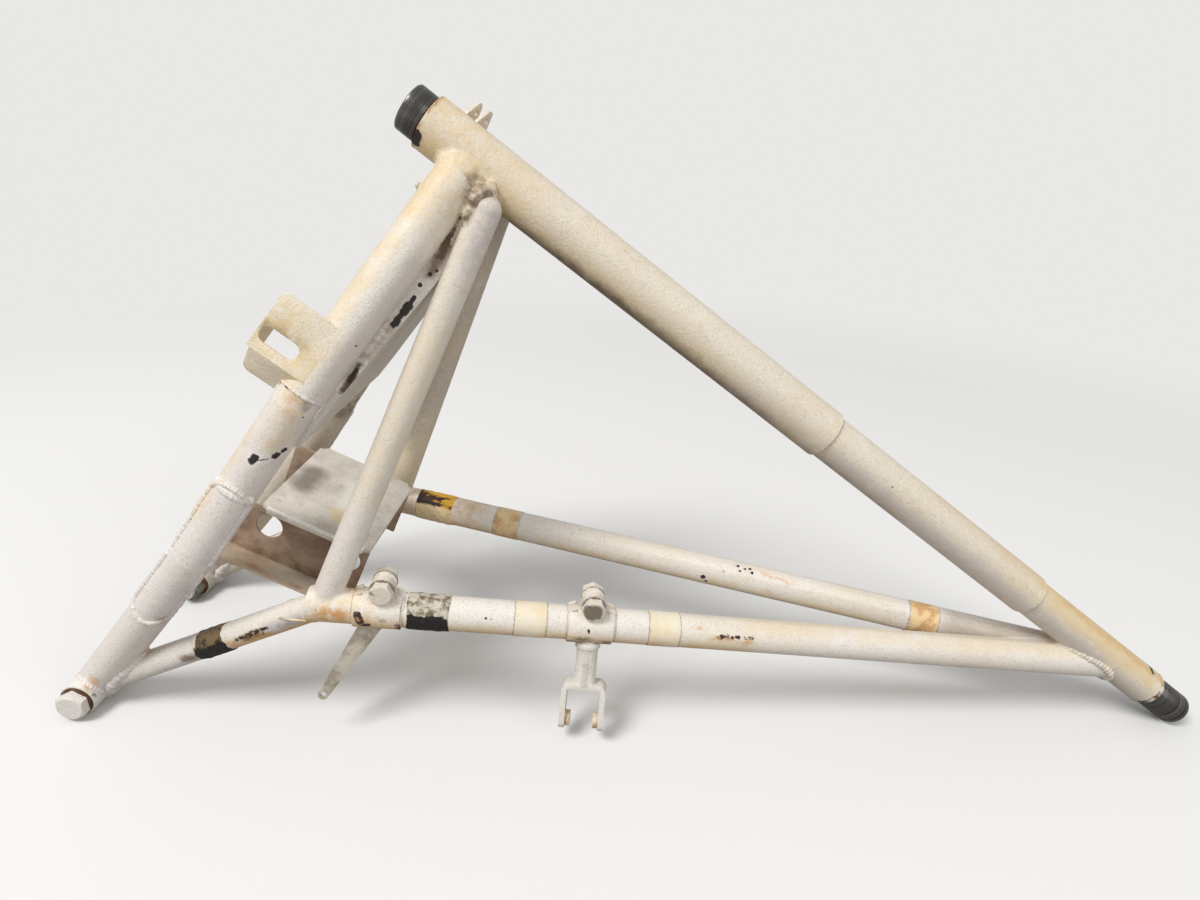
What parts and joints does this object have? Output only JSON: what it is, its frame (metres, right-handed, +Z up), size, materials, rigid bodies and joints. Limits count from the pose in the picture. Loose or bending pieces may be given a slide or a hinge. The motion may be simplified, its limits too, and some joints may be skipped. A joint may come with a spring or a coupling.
{
  "type": "landing gear strut",
  "caption": "Welded steel tube truss of an aircraft main landing gear: pivot tube with journals, twin legs on foot bolts, drag tubes, disc seat and clamped fork.",
  "frame": {"origin": "centre of the bounding box on the ground plane, with the strut lying on its two feet and its lower journal", "axes": "+X from the feet towards the lower journal, +Y from the side with the fork towards the other side, +Z up"},
  "size_m": [0.8418, 0.2016, 0.4235],
  "materials": {
    "cream_paint": "worn semi-gloss off-white enamel",
    "plate_paint": "dirty grey enamel with a rub mark",
    "brown_paint": "off-white enamel under brown dirt",
    "journal_steel": "dark machined steel with fine rings",
    "rusty_steel": "steel with brown rust",
    "bare_steel": "dull steel with traces of paint",
    "black_rubber": "charred and worn wrap",
    "yellow_tape": "aged yellow cloth tape",
    "bush_brass": "dull bronze bush"
  },
  "bodies": {
    "root": {"pivot_tube": "cream_paint", "pivot_tube_middle": "cream_paint", "pivot_tube_lower": "cream_paint", "upper_journal": "journal_steel", "lower_journal": "journal_steel", "lug_ears": "cream_paint", "neck_saddle": "cream_paint", "neck_gusset": "cream_paint", "front_leg_tube": "cream_paint", "rear_leg_tube": "cream_paint", "front_leg_sleeve": "cream_paint", "rear_leg_sleeve": "cream_paint", "front_bend_doubler": "cream_paint", "rear_bend_doubler": "cream_paint", "front_post": "cream_paint", "rear_post": "cream_paint", "front_drag_tube": "cream_paint", "rear_drag_tube": "cream_paint", "front_toe_tube": "cream_paint", "rear_toe_tube": "cream_paint", "front_foot_boss": "cream_paint", "rear_foot_boss": "cream_paint", "foot_bolts": "cream_paint", "foot_washers": "rusty_steel", "foot_nuts": "rusty_steel", "slotted_bracket": "cream_paint", "seat_plate": "plate_paint", "front_channel": "brown_paint", "rear_channel": "brown_paint", "arm_clamp": "cream_paint", "fork_clamp": "cream_paint", "clamp_bolts": "cream_paint", "clamp_spacers": "bare_steel", "clamp_washers": "cream_paint", "clamp_nuts": "bare_steel", "door_arm": "cream_paint", "fork_clevis": "cream_paint", "fork_bushes": "bush_brass", "grease_fitting": "cream_paint", "chafe_bands": "black_rubber", "tape_bands": "yellow_tape"}
  },
  "joints": []
}
